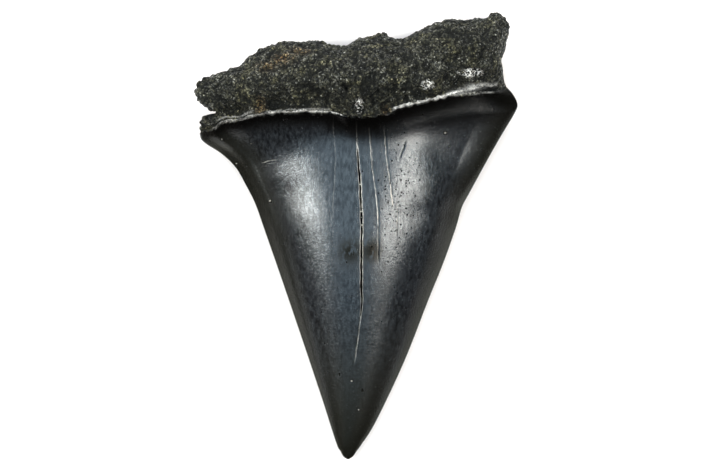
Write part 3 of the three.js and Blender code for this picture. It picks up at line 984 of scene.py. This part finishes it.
def crack_lines(tree, place):
    """The dark lines of the cracks, painted shade in the open groove and beside a hairline groove, and
    the pale lines, from the distance across the nearest one.
    """
    across, opening = mask_of(tree, "across"), mask_of(tree, "open")
    broken = ranged(tree, grain_of(tree, place, size=0.5), 0.4, 0.55, 0.25, 1.0)
    inside = line_at(tree, across, opening)
    bridged = line_at(tree, mask_of(tree, "bridge"), BRIDGE_LINE)
    core_shade = times(tree, inside, ranged(tree, opening, 0.02, 0.05))
    core_shade = times(tree, core_shade, rest_of(tree, bridged))
    lip_middle = calc(tree, "ADD", opening, LIP_LINE_AT)
    from_lip = calc(tree, "SUBTRACT", calc(tree, "ABSOLUTE", across), lip_middle)
    lip = highest(tree, line_at(tree, from_lip, LIP_LINE), times(tree, bridged, inside))
    lip = times(tree, lip, mask_of(tree, "lip"))
    lip = times(tree, times(tree, lip, broken), rest_of(tree, core_shade))
    beside = line_at(tree, calc(tree, "SUBTRACT", across, SHADE_LINE_AT), SHADE_LINE)
    dark = highest(tree, core_shade, times(tree, beside, mask_of(tree, "shade")))
    return dark, lip


def enamel_pits(tree, place):
    """Small round pits of uneven size, rare apart from the pitted place."""
    middle, chance, breadth = cells_of(tree, place, size=0.36)
    pit_share = ranged(tree, mask_of(tree, "pitted"), 0.0, 0.5, *PIT_SHARE)
    chosen = calc(tree, "LESS_THAN", chance, pit_share)
    reach = calc(tree, "SUBTRACT", middle, times(tree, breadth, PIT_UNEVENNESS))
    return times(tree, ranged(tree, reach, *PIT_RADIUS, 1.0, 0.0), chosen)


def enamel_finish():
    """Slate-black enamel with a fine satin grain, small pits, cracks and olive cutting edges, with
    painted shade below the root's rim and in the pits and crack grooves.
    """
    tree, given, result = new_group("enamel_finish", {"Place": "NodeSocketVector"}, FINISH)
    place = given.outputs["Place"]
    fine = grain_of(tree, place, size=0.2, detail=4.0)
    streaks = grain_of(tree, place, size=0.3, detail=4.0, stretch=(1, 0.35, 1))
    cloud = grain_of(tree, place, size=3.0)
    ragged = grain_of(tree, place, size=0.5, detail=5.0, stretch=(1, 0.45, 1))
    edges = highest(tree, mask_of(tree, "edge"), mask_of(tree, "tip"))
    stain = times(tree, mask_of(tree, "stain"), ranged(tree, ragged, 0.37, 0.46))
    brown = calc(tree, "MINIMUM", 1.0, times(tree, stain, STAIN_GAIN))
    # Painted shade below the root's rim: a darker colour and matt
    neck = times(tree, mask_of(tree, "neck"), NECK_SHADE_SHARE)
    pits = enamel_pits(tree, place)
    dark, pale = crack_lines(tree, place)
    # Painted shade: near black in crevices, crack grooves, beside hairline cracks and in pits
    marks = highest(tree, mask_of(tree, "dark"), dark, pits)
    ring = ranged(tree, mask_of(tree, "chip"), *CHIP_RING_LEVELS)
    chip = ranged(tree, mask_of(tree, "chip"), *CHIP_LEVELS)

    colour = mix_colour(tree, ranged(tree, streaks, 0.36, 0.64), ENAMEL_BLACK, ENAMEL_SLATE)
    colour = mix_colour(tree, ranged(tree, cloud, 0.35, 0.65, 0.0, 0.5), colour, ENAMEL_CLOUD)
    colour = mix_colour(tree, times(tree, edges, EDGE_OLIVE), colour, CUTTING_EDGE_OLIVE)
    for share, tint in (
        (brown, STAIN_BROWN), (marks, RECESS_SHADE_BLACK), (pale, CRACK_PALE),
        (ring, CHIP_RING), (chip, CHIP_PALE), (neck, NECK_PAINTED_SHADE),
    ):
        colour = mix_colour(tree, share, colour, tint)
    link(tree, colour, result.inputs["Color"])

    marks = highest(tree, marks, ring)
    mottled = ranged(tree, streaks, 0.38, 0.62, *MOTTLED_MATT)
    matt_stain, matt_edges = times(tree, stain, STAIN_MATT), times(tree, edges, EDGE_MATT)
    matt = highest(tree, marks, matt_stain, neck, matt_edges, mottled)
    link(tree, matt, result.inputs["Matt"])
    satin = ranged(tree, fine, 0.3, 0.7, *ENAMEL_ROUGHNESS)
    roughness = calc(tree, "ADD", satin, times(tree, marks, MARK_ROUGHNESS))
    link(tree, roughness, result.inputs["Roughness"])
    grain, swell = times(tree, fine, ENAMEL_GRAIN_HEIGHT), times(tree, cloud, ENAMEL_CLOUD_HEIGHT)
    sunk = times(tree, highest(tree, pits, dark), PIT_DEPTH)
    height = calc(tree, "SUBTRACT", calc(tree, "ADD", grain, swell), sunk)
    link(tree, height, result.inputs["Height"])
    return tree


def root_finish():
    """Olive-black bone with pale and yellow-olive grains and rust, painted shade between the grains and
    in crevices, and painted highlights: wet-looking glints and the rim's bright line.
    """
    tree, given, result = new_group("root_finish", {"Place": "NodeSocketVector"}, FINISH)
    place = given.outputs["Place"]
    middle, chance, _ = cells_of(tree, place, size=0.32)
    body = ranged(tree, middle, 0.3, 0.7, 1.0, 0.0)
    fine = grain_of(tree, place, size=0.16, detail=3.0)
    speck = grain_of(tree, place, size=0.24, detail=4.0)
    patch = grain_of(tree, place, size=0.9, detail=3.0)
    cloud = grain_of(tree, place, size=2.6, detail=3.0)
    vein = from_level(tree, grain_of(tree, place, size=0.45, detail=3.0), 0.5)
    ridge = from_level(tree, grain_of(tree, place, size=0.7, detail=4.0), 0.5)

    olive = times(tree, ranged(tree, cloud, 0.52, 0.64, 0.0, 0.6), ranged(tree, speck, 0.42, 0.58))
    shaded = times(tree, ranged(tree, patch, 0.36, 0.56, 1.0, 0.0), SHADED_DARK)
    grains = times(tree, ranged(tree, speck, 0.59, 0.67), ranged(tree, chance, 0.3, 0.65, 0.1, 1.0))
    strokes = times(tree, ranged(tree, vein, 0.006, 0.02, 1.0, 0.0), ranged(tree, patch, 0.55, 0.62))
    pale = highest(tree, grains, times(tree, strokes, STROKE_PALE))
    pale_tint = mix_colour(tree, ranged(tree, cloud, 0.52, 0.62), GRAIN_PALE, GRAIN_YELLOW)
    rust = times(tree, mask_of(tree, "rust"), ranged(tree, speck, 0.44, 0.56))
    rust_tint = mix_colour(tree, ranged(tree, fine, 0.5, 0.62), RUST_DARK, RUST_PALE)
    # Painted shade: near black between the grains, where the relief is low, and in the crevices and the
    # rim's gap
    between_grains = highest(tree, mask_of(tree, "grain_shade"), rest_of(tree, body))
    gap_shade = highest(tree, times(tree, between_grains, GAP_SHADE_SHARE), mask_of(tree, "dark"))
    # Painted highlights: glints on facets and the rim's bright line, painted near white
    facets = highest(tree, ranged(tree, ridge, 0.015, 0.035, 1.0, 0.0), ranged(tree, speck, 0.57, 0.61))
    glint = times(tree, ranged(tree, mask_of(tree, "glint"), *GLINT_LEVELS), facets)
    rim = times(tree, mask_of(tree, "rim"), ranged(tree, speck, 0.40, 0.50, 0.3, 1.0))
    bright = highest(tree, rim, glint)

    colour = mix_colour(tree, ranged(tree, fine, 0.4, 0.62), BONE_BLACK, BONE_OLIVE)
    for share, tint in (
        (olive, BONE_YELLOW), (shaded, BONE_BLACK), (pale, pale_tint),
        (rust, rust_tint), (gap_shade, GAP_PAINTED_SHADE), (bright, PAINTED_HIGHLIGHT_WHITE),
    ):
        colour = mix_colour(tree, share, colour, tint)
    link(tree, colour, result.inputs["Color"])

    matt = ranged(tree, highest(tree, bright, pale), 0.0, 0.6, *BONE_MATT)
    link(tree, matt, result.inputs["Matt"])
    link(tree, ranged(tree, gap_shade, 0.0, 1.0, *BONE_ROUGHNESS), result.inputs["Roughness"])
    grain, cell = times(tree, fine, BONE_GRAIN_HEIGHT), times(tree, body, BONE_CELL_HEIGHT)
    link(tree, calc(tree, "ADD", grain, cell), result.inputs["Height"])
    return tree


def place_finish(tree, group, coordinates):
    """Places a finish's group in the material and returns what it puts out."""
    node = add_node(tree, "ShaderNodeGroup", node_tree=group)
    link(tree, coordinates, node.inputs["Place"])
    return node.outputs


def tooth_material():
    material = bpy.data.materials.new("fossil_tooth")
    material.use_nodes = True
    tree = material.node_tree
    shader = tree.nodes["Principled BSDF"]
    coordinates = add_node(tree, "ShaderNodeTexCoord").outputs["Object"]
    enamel = place_finish(tree, enamel_finish(), coordinates)
    bone = place_finish(tree, root_finish(), coordinates)
    share = mask_of(tree, "root")
    link(tree, mix_colour(tree, share, enamel["Color"], bone["Color"]), shader.inputs["Base Color"])
    mixes = {}
    for name in ("Roughness", "Matt", "Height"):
        node = add_node(tree, "ShaderNodeMix")
        for number, value in ((0, share), (2, enamel[name]), (3, bone[name])):
            link(tree, value, node.inputs[number])
        mixes[name] = node.outputs[0]
    link(tree, mixes["Roughness"], shader.inputs["Roughness"])
    link(tree, mixes["Matt"], shader.inputs["Metallic"])
    bump = add_node(tree, "ShaderNodeBump", Strength=1.0, Distance=MM)
    link(tree, mixes["Height"], bump.inputs["Height"])
    link(tree, bump.outputs["Normal"], shader.inputs["Normal"])
    shader.inputs["IOR"].default_value = MIRROR_INDEX
    shader.inputs["Specular Tint"].default_value = MIRROR_TINT
    return material


def make_tooth():
    tooth = bpy.data.objects.new("fossil_tooth", tooth_mesh())
    bpy.context.collection.objects.link(tooth)
    tooth.data.materials.append(tooth_material())
    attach(tooth, "root")
    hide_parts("tooth")


# Studio

FLOOR_SIZE = 1.6
LIGHT_DISTANCE = 0.6
PIXEL = 0.115 * MM  # one pixel of the photograph on the tooth
IMAGE_WIDTH = 708
AIM_OFFSET = (-2 * PIXEL, 0.5 * PIXEL)  # of the picture's middle from the tooth's
AIM_HEIGHT = 2.5 * MM  # of the outline's plane
LENS = 200
SENSOR = 36
CLIP_START = 0.01
FLOOR_COLOUR = (0.97, 0.92, 0.90, 1)
FLOOR_ROUGHNESS = 0.9
ROOM_COLOUR = (1.0, 1.0, 1.0, 1)
ROOM_BRIGHTNESS = 0.05

# Name, tilt from straight up in degrees towards +X and +Y, half angles seen from the tooth, the
# face's brightness, its colour, and the turn about its own middle in degrees
LIGHTS = [
    ("left_box", (-47.5, -3), (8.5, 5.5), 50.0, (1.0, 0.95, 0.87), 0),
    ("right_box", (30.5, -9), (11.5, 3.5), 37.0, (1.0, 0.90, 0.78), -20),
    ("top_panel", (0, -4), (48, 16), 2.35, (0.68, 0.87, 1.0), 0),
    ("front_panel", (0, -26), (58, 8), 0.3, (0.62, 0.86, 1.0), 0),
    ("back_panel", (0, 60), (50, 14), 5.5, (0.96, 0.98, 1.0), 0),
]


def make_floor():
    mesh = bpy.data.meshes.new("floor")
    half = FLOOR_SIZE / 2
    corners = [(-half, -half, 0), (half, -half, 0), (half, half, 0), (-half, half, 0)]
    mesh.from_pydata(corners, [], [(0, 1, 2, 3)])
    floor = bpy.data.objects.new("floor", mesh)
    bpy.context.collection.objects.link(floor)
    material = bpy.data.materials.new("pale_floor")
    material.use_nodes = True
    shader = material.node_tree.nodes["Principled BSDF"]
    shader.inputs["Base Color"].default_value = FLOOR_COLOUR
    shader.inputs["Roughness"].default_value = FLOOR_ROUGHNESS
    mesh.materials.append(material)


def add_light(name, tilt, half_angles, brightness, colour, turn):
    """A soft box that faces the tooth."""
    light = bpy.data.lights.new(name, "AREA")
    light.shape = "RECTANGLE"
    light.size, light.size_y = (2 * LIGHT_DISTANCE * math.tan(math.radians(a)) for a in half_angles)
    light.energy = brightness * math.pi * light.size * light.size_y
    light.color = colour
    lamp = bpy.data.objects.new(name, light)
    lean, around = math.radians(math.hypot(*tilt)), math.atan2(tilt[1], tilt[0])
    way = Vector((math.sin(lean) * math.cos(around), math.sin(lean) * math.sin(around), math.cos(lean)))
    lamp.location = way * LIGHT_DISTANCE
    side = Vector((math.cos(math.radians(turn)), math.sin(math.radians(turn)), 0))
    up = way.cross(side).normalized()
    lamp.rotation_euler = Matrix((up.cross(way), up, way)).transposed().to_euler()
    bpy.context.collection.objects.link(lamp)


def make_studio():
    make_floor()
    for light in LIGHTS:
        add_light(*light)
    world = bpy.data.worlds.new("studio")
    world.use_nodes = True
    background = world.node_tree.nodes["Background"]
    background.inputs["Color"].default_value = ROOM_COLOUR
    background.inputs["Strength"].default_value = ROOM_BRIGHTNESS
    bpy.context.scene.world = world


def make_camera():
    low, high = (Vector(corner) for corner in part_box("tooth"))
    data = bpy.data.cameras.new("camera")
    data.lens = LENS
    data.sensor_width = SENSOR
    data.clip_start = CLIP_START
    camera = bpy.data.objects.new("camera", data)
    distance = IMAGE_WIDTH * PIXEL * LENS / SENSOR
    middle = (low + high) / 2
    camera.location = (middle.x + AIM_OFFSET[0], middle.y + AIM_OFFSET[1], AIM_HEIGHT + distance)
    bpy.context.collection.objects.link(camera)
    bpy.context.scene.camera = camera


make_camera()
make_tooth()
make_studio()
bpy.context.scene.view_settings.view_transform = "Standard"
